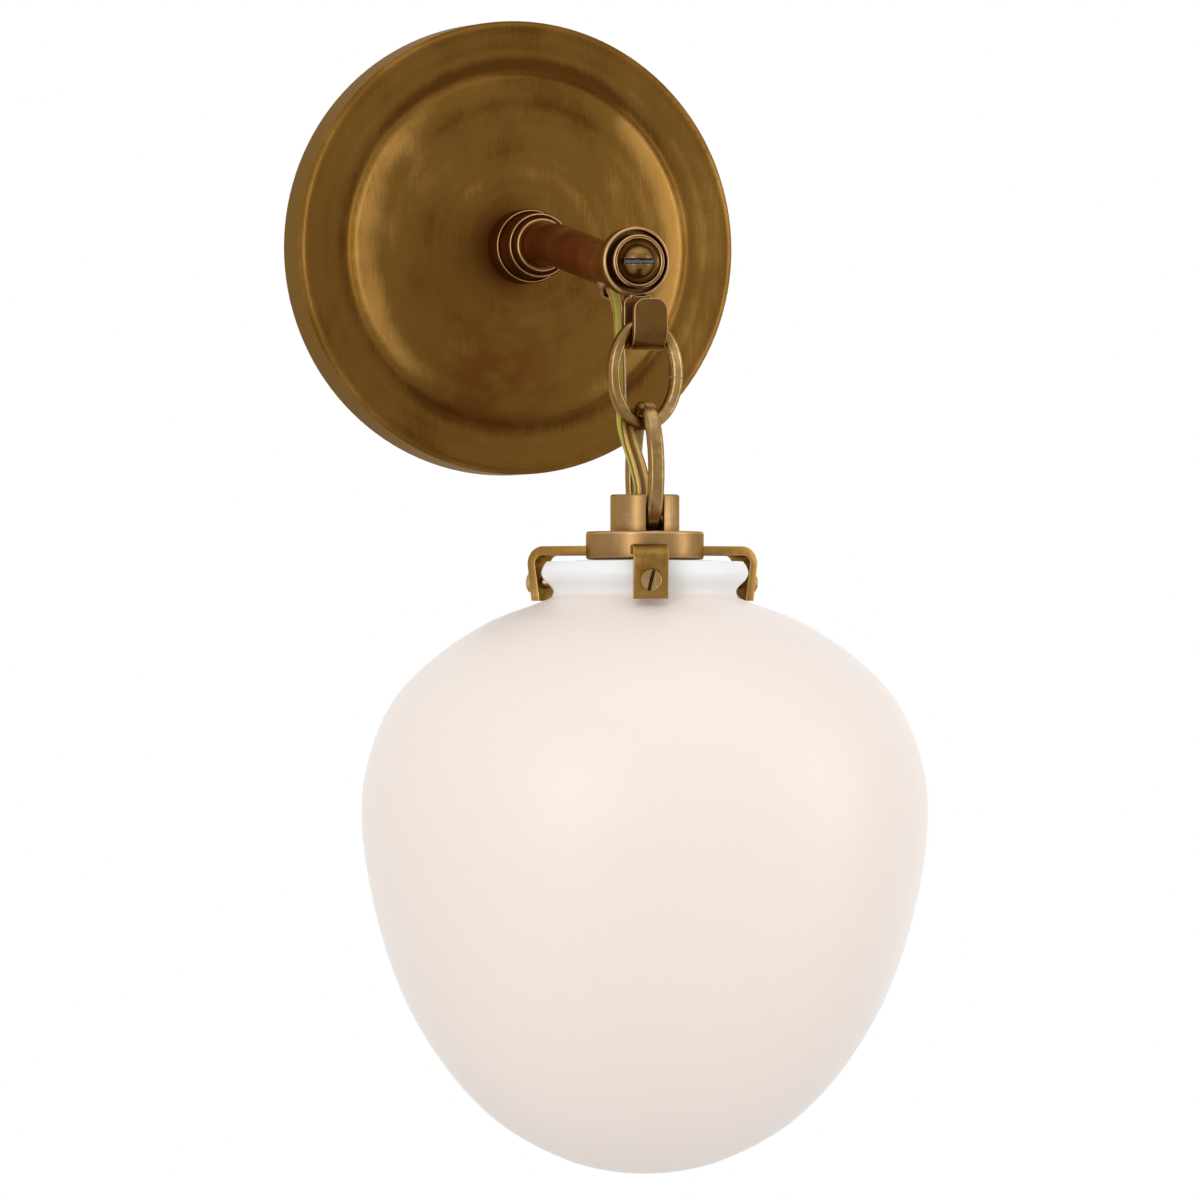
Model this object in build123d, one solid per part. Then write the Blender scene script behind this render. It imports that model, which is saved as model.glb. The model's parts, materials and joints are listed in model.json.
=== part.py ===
from build123d import *
import os
from math import asin, cos, degrees, pi, radians, sin, tan

# Hanging pendant wall sconce, in millimetres.
# The wall is the plane Y = 0, the light stands out of it towards -Y, and Z is up.
# The origin is the centre of the wall plate's back. "depth" is the distance out from the wall.

# ---- fits ----
fit_gap = 0.05           # turned or threaded pieces that seat in one another
link_gap = 0.4           # a link hanging on its seat
running_gap = 0.3        # other pieces that move past each other

# ---- wall plate ----
plate_diameter = 133.35
plate_wall = 1.5
plate_rim_depth = 16.9   # wall to the front of the outer edge
plate_edge_radius = 2.2
cove_radius = 53.4       # foot of the raised middle
cove_depth = 16.5
shoulder_radius = 49.2   # top of the raised middle's edge
shoulder_depth = 18.6
dome_depth = 21.4        # plate's front face at the collar
dome_flat_radius = 13.0  # flat middle, under the collar and the lock washer
dome_rise = 0.22         # slope of the raised middle at its edge

# ---- mounting bar behind the plate ----
bar_width = 20.0
bar_thickness = 2.0
bar_ear_depth = 10.5
bar_ear_gap = 0.8        # ear to the plate's side wall
bar_ear_inset = 3.0      # ear narrower than the bar, on each side
bar_hole_radius = 8.0
box_spacing_small = 69.85    # screw spacings of the two common outlet boxes
box_spacing_large = 88.9
box_slot_radius = 2.3
set_screw_radius = 2.0
set_screw_length = 6.0
set_screw_slot = 0.8
set_screw_depth = 6.0    # wall to the set screws' axis
ground_screw_radius = 2.0
ground_head_radius = 4.0
ground_head_height = 2.4
ground_slot = 1.0        # width and depth of its slot
ground_screw_height = 20.0

# ---- arm ----
nipple_radius = 4.95
nipple_bore_radius = 3.3
nipple_start = 11.0      # depth of its inner end, behind the plate
nipple_end = 46.0
nut_across_flats = 15.9
nut_thickness = 3.2
washer_radius = 12.0
washer_thickness = 1.2
collar_radii = (10.9, 9.6, 8.0)
collar_depths = (30.6, 38.8, 41.2)
collar_bead = 0.45
collar_cut = 0.35        # groove between two steps
collar_seat_depth = 34.0     # the tube's end inside the collar
tube_radius = 6.3
tube_wall = 1.3
bend_start_run = 10.8    # straight tube in front of the collar
bend_end_run = 22.8      # straight tube behind the cup
arm_drop = 7.6           # how far the S-bend brings the tube's axis down
bend_radius = 100.0
end_plug_length = 12.0

# ---- cup, cap and cap screw at the arm's end ----
cup_radius = 10.0
cup_wall = 0.9
cup_setback = 13.2       # cup's back, behind the vertical axis
cup_length = 5.8
cup_web = 2.0
cup_edge = 0.5
cup_lip_edge = 0.35
cap_radius = 7.75
cap_rise = 2.4           # cap's front beyond the cup's
cap_edge = 0.5
cap_dish_depth = 1.3
screw_head_radius = 5.0
screw_dome_height = 4.3
screw_shank_radius = 2.0
screw_shank_length = 12.0
screw_slot_width = 1.8
screw_slot_depth = 3.0

# ---- hook ----
axis_depth = 138.0       # wall to the vertical axis of links, fitter and shade
strap_width = 10.0       # hook and claws are of strap this wide
hook_thickness = 2.3
hook_inner_radius = 3.6
hook_slack = 1.82        # middle of the bend below the middle of the link's wire
hook_tip_height = -18.5
hook_tip_corner = 3.4
hook_leg_corner = 2.0
hook_foot_width = 6.0
hook_foot_length = 4.2
hook_foot_sunk = 1.0     # how far the foot's saddle comes up round the cup
hook_foot_drop = 1.9     # foot's underside below the cup

# ---- chain links ----
link_wire = 3.5          # wire in the plane of the link
link_across = 4.6        # wire across the plane of the link
link_round = 1.4
upper_link_width = 22.4
upper_link_height = 32.3
upper_wire_height = -25.6    # centre of the wire that lies in the hook
upper_seam_height = -41.3
seam_gap = 0.3
seam_slant = 6.0         # degrees
lower_link_width = 24.9
lower_link_height = 40.6
crossing_gap = 1.2       # lower link above the upper link's wire

# ---- loop plug and fitter ----
plug_radius = 9.9
plug_wall = 1.6
plug_rise = 1.4          # plug's top above the middle of the lower link's bottom arc
plug_showing = 10.6      # plug above the fitter cap
plug_sunk = 5.0          # how far the plug goes into the fitter cap
slot_width = 5.6
slot_margin = 0.95       # slot's cutter beyond the lower link's outside
pin_radius = 2.0
fitter_radius = 16.9
fitter_height = 8.0
fitter_edge = 0.5
claw_thickness = 2.7
claw_outer_radius = 36.0
claw_drop = 4.0          # claws' top below the fitter cap's top
claw_height = 15.7
claw_lean = 1.9          # how far the leg's foot stands inward
claw_bend_radius = 5.0
claw_root = 1.5          # strap's end inside the fitter cap's outline
claw_turn = 15.0         # front claw's turn from straight out, towards -X
clamp_drop = 10.4        # clamp screws' axes below the claws' top
clamp_head_radius = 3.05
clamp_head_height = 1.9
clamp_shank_radius = 1.7
clamp_slot_width = 1.1
clamp_slot_depth = 0.9
clamp_slot_turn = -14.0
clamp_tip_radius = 0.6
clamp_cone_length = 2.4
clamp_head_edge = 0.3
claw_count = 3

# ---- glass shade ----
# its points are (radius, drop below the lip's top)
glass_wall = 3.0
lip_gap = 4.6            # lip's top below the claws' top
lip_edge_radius = 28.2
lip_radius = 29.66
lip_drop = 3.3
neck_radius = 26.2
neck_drop = 8.5
shoulder_start = (31.5, 12.2)
body_points = ((44.0, 17.0), (59.0, 26.5), (71.8, 39.4), (79.2, 56.6), (81.2, 73.6),
               (76.9, 101.6), (68.9, 125.1), (58.7, 142.6), (48.6, 154.7))
base_start = (37.2, 164.0)       # where the round bottom starts
shade_height = 175.4
wall_steps = 12          # stretches that carry the inner face of the body
throat_flare = 1.4

# ---- lampholder and lamp ----
holder_radius = 19.5
holder_length = 37.0
holder_gap = 0.3         # under the fitter cap
chamber_radius = 15.0
chamber_depth = 6.5
shell_radius = 14.3
shell_wall = 0.4
shell_length = 27.0
holder_deck = 5.0        # solid porcelain between the chamber and the shell
holder_screw_radius = 1.5
holder_screw_head_radius = 2.5
holder_screw_head_height = 2.0
holder_screw_spacing = 24.6
holder_screw_grip = 4.5      # depth of their holes in the fitter cap
pillar_radius = 3.2
terminal_spacing = 16.0
terminal_setback = 6.5       # from the vertical axis towards the wall
terminal_radius = 2.6
terminal_height = 2.2
terminal_shank_radius = 1.5
terminal_slot = 0.8          # width and depth
contact_radius = 3.2
contact_thickness = 1.2
contact_gap = 1.2            # between the contact and the shell round it
lamp_tip_flare = 1.5         # insulator round the lamp's contact
lamp_tip_height = 1.8
lamp_taper = 3.5             # from the contact to the base's full width
lamp_base_radius = 13.1
lamp_base_length = 25.0
lamp_radius = 22.0
lamp_length = 108.0
lamp_wall = 1.0
lamp_neck_drop = 20.0        # from the holder to the lamp's full width

# ---- cord ----
cord_radius = 1.6        # round section of the same area as the flat two-core cord
cord_start_x = -15.3
cord_end_depth = 4.6     # the cord's axis where it lies in front of the mounting bar
lead_radius = 0.8
lead_start = 0.8         # leads start this far from the cord's middle
holder_lead_radius = 0.5
bushing_radius = 3.5
bushing_bore_radius = 2.7
bushing_length = 4.4
outlet_angle = 40.0      # below level, where the cord leaves the arm
outlet_setback = 19.3    # middle of its mouth, behind the cup's back
outlet_run = 10.0        # straight length of cord behind the outlet's mouth
connector_radius = 5.5
connector_length = 18.0
connector_x = -25.3
connector_depth = 7.6
connector_start = 11.0   # from the level of the axis to the connector's open end

# ---- places that follow from the sizes above ----
cup_back_depth = axis_depth - cup_setback
cup_front_depth = cup_back_depth + cup_length
cap_front_depth = cup_front_depth + cap_rise
bend_start_depth = collar_depths[-1] + bend_start_run
bend_end_depth = cup_back_depth - bend_end_run
outlet_depth = cup_back_depth - outlet_setback
upper_top = upper_wire_height + link_wire / 2
upper_middle = upper_top - upper_link_height / 2
upper_bottom = upper_top - upper_link_height
lower_top = upper_bottom + 2 * link_wire + crossing_gap
lower_middle = lower_top - lower_link_height / 2
lower_bottom = lower_top - lower_link_height
crossing_height = lower_top - link_wire / 2
lower_arc_height = lower_bottom + lower_link_width / 2
plug_top_height = lower_arc_height + plug_rise
fitter_top_height = plug_top_height - plug_showing
fitter_bottom_height = fitter_top_height - fitter_height
claw_top_height = fitter_top_height - claw_drop
claw_bottom_height = claw_top_height - claw_height
clamp_height = claw_top_height - clamp_drop
lip_top_height = claw_top_height - lip_gap
neck_height = lip_top_height - neck_drop
shade_bottom_height = lip_top_height - shade_height

os.makedirs("parts", exist_ok=True)
written = []


def save(shape, node):
    export_step(shape, "parts/" + node + ".step")
    written.append(node)


def at(x, depth, z):
    return Vector(x, -depth, z)


def turned_about_z(outline):
    """Turn an outline of (radius, height) about the pendant's vertical axis."""
    face = Plane.XZ * make_face(Polyline(*outline, close=True))
    return Pos(0, -axis_depth, 0) * revolve(face, Axis.Z)


def turned_about_y(outline, height=0.0):
    """Turn an outline of (radius, depth) about a level axis square to the wall."""
    flat = [(radius, -depth) for radius, depth in outline]
    return Pos(0, 0, height) * revolve(make_face(Polyline(*flat, close=True)), Axis.Y)


def rod_y(radius, start, end, x=0.0, z=0.0):
    """Round rod square to the wall between two depths."""
    plane = Plane(origin=at(x, start, z), z_dir=(0, -1, 0))
    return extrude(plane * Circle(radius), end - start)


def rod_z(radius, low, high, x=0.0, depth=axis_depth):
    """Round vertical rod between two heights."""
    return extrude(Plane(origin=at(x, depth, low)) * Circle(radius), high - low)


def rod_x(radius, half_length, depth, z):
    """Round rod along X, centred on X = 0."""
    plane = Plane(origin=at(-half_length, depth, z), z_dir=(1, 0, 0))
    return extrude(plane * Circle(radius), 2 * half_length)


def block(x_low, x_high, depth_low, depth_high, z_low, z_high):
    size = Box(x_high - x_low, depth_high - depth_low, z_high - z_low)
    middle = at((x_low + x_high) / 2, (depth_low + depth_high) / 2, (z_low + z_high) / 2)
    return Pos(*middle) * size


def route_radii(points):
    """Largest even bend at each inner point of a cord's route."""
    radii = []
    for before, here, after in zip(points, points[1:], points[2:]):
        first = here - before
        second = after - here
        turn = first.get_angle(second)
        shorter = min(first.length, second.length)
        radii.append(0.45 * shorter / tan(radians(turn / 2)))
    return radii


def cord_tube(points, radius, name):
    """Round tube along straight runs joined by tangent arcs."""
    radii = route_radii(points)
    path = FilletPolyline(*points, radius=radii)
    start = Plane(origin=path @ 0, z_dir=path % 0)
    tube = sweep(start * Circle(radius), path=path)
    expected = pi * radius ** 2 * path.length
    print(name, "length", round(path.length, 2), "radii", [round(r, 1) for r in radii],
          "volume ratio", round(tube.volume / expected, 4))
    return tube


# ================= wall plate and what holds it =================

plate_radius = plate_diameter / 2


def plate_outline(inset):
    """Half section of the plate's skin, moved inwards by inset."""
    side = plate_radius - inset
    front = plate_rim_depth - inset
    bend = plate_edge_radius - inset
    rim = Line((side, 0), (side, -(front - bend)))
    corner = JernArc(start=rim @ 1, tangent=(0, -1), radius=bend, arc_size=-90)
    slope = Line(corner @ 1, (cove_radius, -(cove_depth - inset)))
    step = Spline(slope @ 1, (shoulder_radius - inset, -(shoulder_depth - inset)),
                  tangents=(slope % 1, (-1, -dome_rise)))
    dome = Spline(step @ 1, (dome_flat_radius, -(dome_depth - inset)),
                  tangents=((-1, -dome_rise), (-1, 0)))
    across = Line(dome @ 1, (0, -(dome_depth - inset)))
    axis_side = Line(across @ 1, (0, 0))
    base = Line(axis_side @ 1, (side, 0))
    return make_face(Curve() + [rim, corner, slope, step, dome, across, axis_side, base])


def make_backplate():
    outside = revolve(plate_outline(0), Axis.Y)
    inside = revolve(plate_outline(plate_wall), Axis.Y)
    plate = outside - inside
    plate -= rod_y(nipple_radius + fit_gap, 0, dome_depth + 1)
    for side in (1, -1):
        hole = rod_z(set_screw_radius + fit_gap, 0, plate_radius + 1, depth=set_screw_depth)
        plate -= hole if side > 0 else mirror(hole, Plane.XY)
    return plate


ear_outside = plate_radius - plate_wall - bar_ear_gap
slot_offset = (box_spacing_small + box_spacing_large) / 4
slot_run = (box_spacing_large - box_spacing_small) / 2


def make_mounting_bar():
    bar = block(-bar_width / 2, bar_width / 2, 0, bar_thickness, -ear_outside, ear_outside)
    bar -= rod_y(bar_hole_radius, -1, bar_thickness + 1)
    ear_half = bar_width / 2 - bar_ear_inset
    for side in (1, -1):
        low, high = sorted((side * ear_outside, side * (ear_outside - bar_thickness)))
        ear = block(-ear_half, ear_half, bar_thickness, bar_ear_depth, low, high)
        bar += ear
        notch_low = low - bar_ear_inset
        notch_high = high + bar_ear_inset
        bar -= block(ear_half, bar_width, -1, bar_ear_depth, notch_low, notch_high)
        bar -= block(-bar_width, -ear_half, -1, bar_ear_depth, notch_low, notch_high)
        slot = SlotCenterToCenter(slot_run, box_slot_radius * 2, rotation=90)
        cutter = extrude(Plane.XZ.offset(-1) * Pos(0, side * slot_offset) * slot, bar_thickness + 2)
        bar -= cutter
        bar -= rod_z(set_screw_radius, low - 1, high + 1, depth=set_screw_depth)
    bar -= rod_y(ground_screw_radius, -1, bar_thickness + 1, z=ground_screw_height)
    return bar


def make_set_screws():
    """Two slotted headless screws, flush in the plate's side wall, top and bottom."""
    top = plate_radius - running_gap
    screw = rod_z(set_screw_radius - fit_gap, top - set_screw_length, top, depth=set_screw_depth)
    screw -= Pos(*at(0, set_screw_depth, top)) * Box(2 * set_screw_radius, set_screw_slot, 2.0)
    return Compound([screw, mirror(screw, Plane.XY)])


def make_ground_screw():
    front = bar_thickness + ground_head_height
    half = ground_slot / 2
    head = rod_y(ground_head_radius, bar_thickness, front, z=ground_screw_height)
    shank = rod_y(ground_screw_radius - fit_gap, running_gap, bar_thickness, z=ground_screw_height)
    slot = block(-ground_head_radius, ground_head_radius, front - ground_slot, front,
                 ground_screw_height - half, ground_screw_height + half)
    return head + shank - slot


inner_face_depth = dome_depth - plate_wall


def make_lock_washer():
    start = inner_face_depth - washer_thickness
    washer = rod_y(washer_radius, start, inner_face_depth)
    return washer - rod_y(nipple_radius + fit_gap, start - 1, inner_face_depth + 1)


def make_lock_nut():
    end = inner_face_depth - washer_thickness
    plane = Plane(origin=at(0, end - nut_thickness, 0), z_dir=(0, -1, 0))
    nut = extrude(plane * RegularPolygon(nut_across_flats / 2, 6, major_radius=False), nut_thickness)
    return nut - rod_y(nipple_radius + fit_gap, end - nut_thickness - 1, end + 1)


def make_arm_nipple():
    tube = rod_y(nipple_radius, nipple_start, nipple_end)
    return tube - rod_y(nipple_bore_radius, nipple_start - 1, nipple_end + 1)


# ================= arm =================

def make_arm_collar():
    """Turned ring of three steps, each with a small rounded bead at its front edge."""
    back = dome_depth
    outline = [(nipple_radius + fit_gap, back), (collar_radii[0], back)]
    for index, (radius, front) in enumerate(zip(collar_radii, collar_depths)):
        outline.append((radius, front - 2 * collar_bead))
        outline.append((radius - collar_bead / 3, front - collar_bead))
        outline.append((radius - collar_bead, front))
        if index + 1 < len(collar_radii):
            step = collar_radii[index + 1]
            outline.append((step + collar_cut, front - collar_cut))
            outline.append((step, front + collar_bead))
    seat = tube_radius + fit_gap
    outline += [(seat, collar_depths[-1]), (seat, collar_seat_depth),
                (nipple_radius + fit_gap, collar_seat_depth)]
    return turned_about_y(outline)


arm_points = (at(0, collar_seat_depth, 0), at(0, bend_start_depth, 0),
              at(0, bend_end_depth, -arm_drop), at(0, cup_back_depth + cup_web, -arm_drop))

outlet_drop = (cos(radians(outlet_angle)), sin(radians(outlet_angle)))
outlet_plane = Plane(origin=at(0, outlet_depth, -arm_drop - tube_radius),
                     z_dir=(0, -outlet_drop[0], -outlet_drop[1]))


def make_arm_tube():
    path = FilletPolyline(*arm_points, radius=bend_radius)
    start = Plane(origin=path @ 0, z_dir=path % 0)
    tube = sweep(start * Circle(tube_radius), path=path)
    tube -= sweep(start * Circle(tube_radius - tube_wall), path=path)
    hole = extrude(outlet_plane.offset(-2 * bushing_length) * Circle(bushing_radius + fit_gap),
                   4 * bushing_length)
    return tube - hole


def make_outlet_bushing():
    """Short sleeve that lines the cord's slanting hole under the arm."""
    base = outlet_plane.offset(-bushing_length / 2)
    sleeve = extrude(base * Circle(bushing_radius), bushing_length)
    return sleeve - extrude(base * Circle(bushing_bore_radius), bushing_length)


def make_arm_cup():
    outer = cup_radius
    inner = cup_radius - cup_wall
    outline = [(tube_radius + fit_gap, cup_back_depth), (outer - cup_edge, cup_back_depth),
               (outer, cup_back_depth + cup_edge), (outer, cup_front_depth - cup_lip_edge),
               (outer - cup_lip_edge, cup_front_depth), (inner, cup_front_depth),
               (inner, cup_back_depth + cup_web), (tube_radius + fit_gap, cup_back_depth + cup_web)]
    return turned_about_y(outline, -arm_drop)


def make_arm_cap():
    back = cup_back_depth + cup_web
    bore = screw_shank_radius + fit_gap
    seat_depth = cap_front_depth - cap_dish_depth
    outline = [(bore, back), (cap_radius, back), (cap_radius, cap_front_depth - cap_edge),
               (cap_radius - cap_edge * 0.3, cap_front_depth - cap_edge * 0.3),
               (cap_radius - cap_edge, cap_front_depth),
               (cap_radius - 2 * cap_edge, cap_front_depth),
               (cap_radius - 3 * cap_edge, cap_front_depth - cap_dish_depth * 0.6),
               (screw_head_radius + 0.2, seat_depth), (bore, seat_depth)]
    return turned_about_y(outline, -arm_drop)


def make_cap_screw():
    seat = cap_front_depth - cap_dish_depth
    rise = screw_dome_height
    sphere = (screw_head_radius ** 2 + rise ** 2) / (2 * rise)
    ball = Pos(*at(0, seat + rise - sphere, -arm_drop)) * Sphere(sphere)
    head = ball & rod_y(screw_head_radius, seat, seat + rise + 1, z=-arm_drop)
    shank = rod_y(screw_shank_radius, seat - screw_shank_length, seat, z=-arm_drop)
    top = seat + rise
    slot = block(-screw_head_radius, screw_head_radius, top - screw_slot_depth, top + 1,
                 -arm_drop - screw_slot_width / 2, -arm_drop + screw_slot_width / 2)
    return head + shank - slot


def make_arm_end_plug():
    end = cup_back_depth + cup_web
    body = rod_y(tube_radius - tube_wall - fit_gap, end - end_plug_length, end, z=-arm_drop)
    return body - rod_y(screw_shank_radius + fit_gap, end - end_plug_length - 1, end + 1, z=-arm_drop)


# ================= hook and links =================

bend_middle_height = upper_wire_height - hook_slack
hook_outer_radius = hook_inner_radius + hook_thickness
cup_bottom_height = -arm_drop - cup_radius
strap_half = strap_width / 2


def make_hook():
    """J of flat strap: a narrow foot under the cup, a rear leg, the bend and a tongue."""
    rear = axis_depth - hook_outer_radius
    front = axis_depth + hook_outer_radius
    foot_top = cup_bottom_height + hook_foot_sunk
    foot_low = cup_bottom_height - hook_foot_drop
    foot_half = hook_foot_width / 2
    hook = block(-strap_half, strap_half, rear, rear + hook_thickness, bend_middle_height,
                 cup_bottom_height - running_gap)
    hook = fillet(hook.edges().filter_by(Axis.Y).group_by(Axis.Z)[-1], hook_leg_corner)
    hook += block(-foot_half, foot_half, rear - hook_foot_length, rear + hook_thickness,
                  foot_low, foot_top)
    bend = rod_x(hook_outer_radius, strap_half, axis_depth, bend_middle_height)
    bend -= rod_x(hook_inner_radius, strap_half + 1, axis_depth, bend_middle_height)
    bend -= block(-strap_width, strap_width, rear - 1, front + 1,
                  bend_middle_height, bend_middle_height + hook_outer_radius + 1)
    hook += bend
    tongue = block(-strap_half, strap_half, front - hook_thickness, front,
                   bend_middle_height, hook_tip_height)
    hook += fillet(tongue.edges().filter_by(Axis.Y).group_by(Axis.Z)[-1], hook_tip_corner)
    return hook - rod_y(cup_radius + fit_gap, cup_back_depth - 5, cup_front_depth + 5, z=-arm_drop)


def make_link(width, height, wire, across):
    """Oval ring in the plane XZ, centred on its own middle, of a wire with rounded corners."""
    outer = Ellipse(width / 2, height / 2)
    inner = Ellipse(width / 2 - wire, height / 2 - wire)
    ring = extrude(Plane.XZ * (outer - inner), across / 2, both=True)
    return fillet(ring.edges(), link_round)


def make_upper_link():
    link = Pos(*at(0, axis_depth, upper_middle)) * make_link(upper_link_width, upper_link_height,
                                                            link_wire, link_across)
    seam = Pos(*at(upper_link_width / 2, axis_depth, upper_seam_height)) * Rot(0, seam_slant, 0)
    return link - seam * Box(3 * link_wire, 2 * link_across, seam_gap)


def make_lower_link():
    link = make_link(lower_link_width, lower_link_height, link_wire, link_across)
    return Pos(*at(0, axis_depth, lower_middle)) * Rot(0, 0, 90) * link


# ================= plug, fitter and claws =================

plug_bore_radius = plug_radius - plug_wall
plug_bottom_height = fitter_top_height - plug_sunk
pin_height = lower_arc_height - (lower_link_width / 2 - link_wire - pin_radius - link_gap)
holder_screw_depths = (axis_depth - holder_screw_spacing / 2, axis_depth + holder_screw_spacing / 2)


def make_loop_plug():
    """Open tube with an arc-shaped slot, front and rear, that the lower link passes through."""
    top = plug_top_height
    edge = 0.4
    outline = [(plug_bore_radius, plug_bottom_height), (plug_radius, plug_bottom_height),
               (plug_radius, top - edge), (plug_radius - edge, top),
               (plug_bore_radius + edge, top), (plug_bore_radius, top - edge)]
    plug = turned_about_z(outline)
    plug -= rod_x(lower_link_width / 2 + slot_margin, slot_width / 2, axis_depth, lower_arc_height)
    return plug - rod_x(pin_radius + fit_gap, plug_radius + 1, axis_depth, pin_height)


def make_plug_pin():
    """Cross pin, filed flush with the plug's side."""
    pin = rod_x(pin_radius, plug_radius, axis_depth, pin_height)
    return pin & rod_z(plug_radius, plug_bottom_height, plug_top_height)


def make_fitter_cap():
    seat = plug_radius + fit_gap
    top = fitter_top_height
    bottom = fitter_bottom_height
    edge = fitter_edge
    outline = [(seat, top), (fitter_radius - edge, top), (fitter_radius, top - edge),
               (fitter_radius, bottom + edge), (fitter_radius - edge, bottom),
               (plug_bore_radius, bottom), (plug_bore_radius, plug_bottom_height - fit_gap),
               (seat, plug_bottom_height - fit_gap)]
    cap = turned_about_z(outline)
    for depth in holder_screw_depths:
        cap -= rod_z(holder_screw_radius, bottom - 1, bottom + holder_screw_grip, depth=depth)
    return cap


def make_claw():
    """Strap from the fitter cap's side, out and down over the shade's lip; it points to -Y."""
    low = claw_top_height - claw_thickness
    inside = claw_outer_radius - claw_thickness
    start = fitter_radius - claw_root
    outline = Polyline((-start, claw_top_height), (-claw_outer_radius, claw_top_height),
                       (claw_lean - claw_outer_radius, claw_bottom_height),
                       (claw_lean - inside, claw_bottom_height), (-inside, low), (-start, low),
                       close=True)
    claw = extrude(Plane.YZ * make_face(outline), strap_half, both=True)
    level = claw.edges().filter_by(Axis.X)
    outer = level.group_by(Axis.Z)[-1].sort_by(Axis.Y)[0]
    claw = fillet(outer, claw_bend_radius)
    inner = claw.edges().filter_by(Axis.X).sort_by_distance(Vector(0, -inside, low))[0]
    claw = fillet(inner, claw_bend_radius - claw_thickness)
    claw -= rod_y(clamp_shank_radius + fit_gap, inside - 2 * claw_lean, claw_outer_radius + 1,
                  z=clamp_height)
    return claw - Cylinder(fitter_radius, 4 * axis_depth)


def make_clamp_screw():
    """Slotted cheese-head screw with a coned tip that bears under the shade's lip."""
    head_start = claw_outer_radius - claw_lean * (clamp_drop - clamp_head_radius) / claw_height
    tip = clamp_tip_reach
    outline = [(0, tip), (clamp_tip_radius, tip), (clamp_shank_radius, tip + clamp_cone_length),
               (clamp_shank_radius, head_start), (clamp_head_radius, head_start),
               (clamp_head_radius, head_start + clamp_head_height - clamp_head_edge),
               (clamp_head_radius - clamp_head_edge, head_start + clamp_head_height),
               (0, head_start + clamp_head_height)]
    screw = turned_about_y(outline, clamp_height)
    top = head_start + clamp_head_height
    slot = Pos(*at(0, top, clamp_height)) * Rot(0, clamp_slot_turn, 0)
    return screw - slot * Box(clamp_slot_width, 2 * clamp_slot_depth, 3 * clamp_head_radius)


def around(shape, index):
    """Turn a piece made pointing to -Y about the origin to its place round the fitter."""
    angle = -claw_turn - index * 360 / claw_count
    return Pos(0, -axis_depth, 0) * Rot(0, 0, angle) * shape


# ================= glass shade =================

base_rise = shade_height - base_start[1]
base_radius = (base_start[0] ** 2 + base_rise ** 2) / (2 * base_rise)
base_angle = asin(base_start[0] / base_radius)
base_middle = (0, shade_bottom_height + base_radius)
base_slope = (-cos(base_angle), -sin(base_angle))


def below_lip(radius, drop):
    return radius, lip_top_height - drop


def shade_outline():
    """Outer edge of the glass in the plane XZ: the lip and neck, then the body."""
    lip = Spline(below_lip(lip_edge_radius, 0), below_lip(lip_radius, lip_drop),
                 below_lip(neck_radius, neck_drop), below_lip(*shoulder_start),
                 tangents=((0.5, -0.9), (1, -0.36)))
    body_places = [below_lip(*point) for point in body_points]
    body = Spline(lip @ 1, *body_places, below_lip(*base_start), tangents=(lip % 1, base_slope))
    return lip, body


def base_arc(radius):
    """Round bottom of the glass, from the axis out to where the body starts."""
    return CenterArc(base_middle, radius, -90, degrees(base_angle))


def make_shade():
    lip, body = shade_outline()
    base = base_arc(base_radius)
    closing = Polyline((0, shade_bottom_height), (0, lip_top_height), (lip_edge_radius, lip_top_height))
    outside = revolve(Plane.XZ * make_face(Curve() + [lip, body, base, closing]), Axis.Z)
    inner_points = []
    for step in range(wall_steps + 1):
        place = body @ (step / wall_steps)
        along = body % (step / wall_steps)
        inner_points.append(place + Vector(along.Y, -along.X) * glass_wall)
    inner_body = Spline(*inner_points, tangents=(body % 0, base_slope))
    inner_base = base_arc(base_radius - glass_wall)
    neck_inside = neck_radius - glass_wall
    throat = Line((neck_inside + throat_flare, lip_top_height + 1), (neck_inside, neck_height + 1))
    turn = Spline(throat @ 1, inner_body @ 0, tangents=(throat % 1, inner_body % 0))
    closing = Polyline(inner_base @ 0, (0, lip_top_height + 1), throat @ 0)
    inside_edge = Curve() + [throat, turn, inner_body, inner_base, closing]
    inside = revolve(Plane.XZ * make_face(inside_edge), Axis.Z)
    return Pos(0, -axis_depth, 0) * (outside - inside)


def glass_radius_at(height):
    """Outer radius of the lip and neck at a height, for the clamp screws' tips."""
    lip, _ = shade_outline()
    steps = 400
    radii = [(abs((lip @ (i / steps)).Y - height), (lip @ (i / steps)).X) for i in range(steps + 1)]
    return min(radii)[1]


clamp_tip_reach = glass_radius_at(clamp_height + clamp_tip_radius) + running_gap

# ================= lampholder and lamp =================

holder_top_height = fitter_bottom_height - holder_gap
chamber_floor_height = holder_top_height - chamber_depth
shell_top_height = chamber_floor_height - holder_deck
holder_bottom_height = holder_top_height - holder_length
terminal_depth = axis_depth - terminal_setback
terminal_places = (terminal_spacing / 2, -terminal_spacing / 2)


def make_lampholder():
    """Porcelain body: a wiring chamber with two pillars above a deck, and a socket below."""
    body = rod_z(holder_radius, holder_bottom_height, holder_top_height)
    chamber = rod_z(chamber_radius, chamber_floor_height, holder_top_height)
    for depth in holder_screw_depths:
        chamber -= rod_z(pillar_radius, chamber_floor_height, holder_top_height, depth=depth)
    body -= chamber
    body -= rod_z(shell_radius + fit_gap, holder_bottom_height, shell_top_height)
    recess_top = shell_top_height + holder_screw_head_height + running_gap
    for depth in holder_screw_depths:
        body -= rod_z(holder_screw_radius + fit_gap, shell_top_height, holder_top_height, depth=depth)
        body -= rod_z(holder_screw_head_radius + fit_gap, shell_top_height, recess_top, depth=depth)
    for x in terminal_places:
        body -= rod_z(terminal_shank_radius + fit_gap, shell_top_height, chamber_floor_height, x=x,
                      depth=terminal_depth)
    return body


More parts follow.
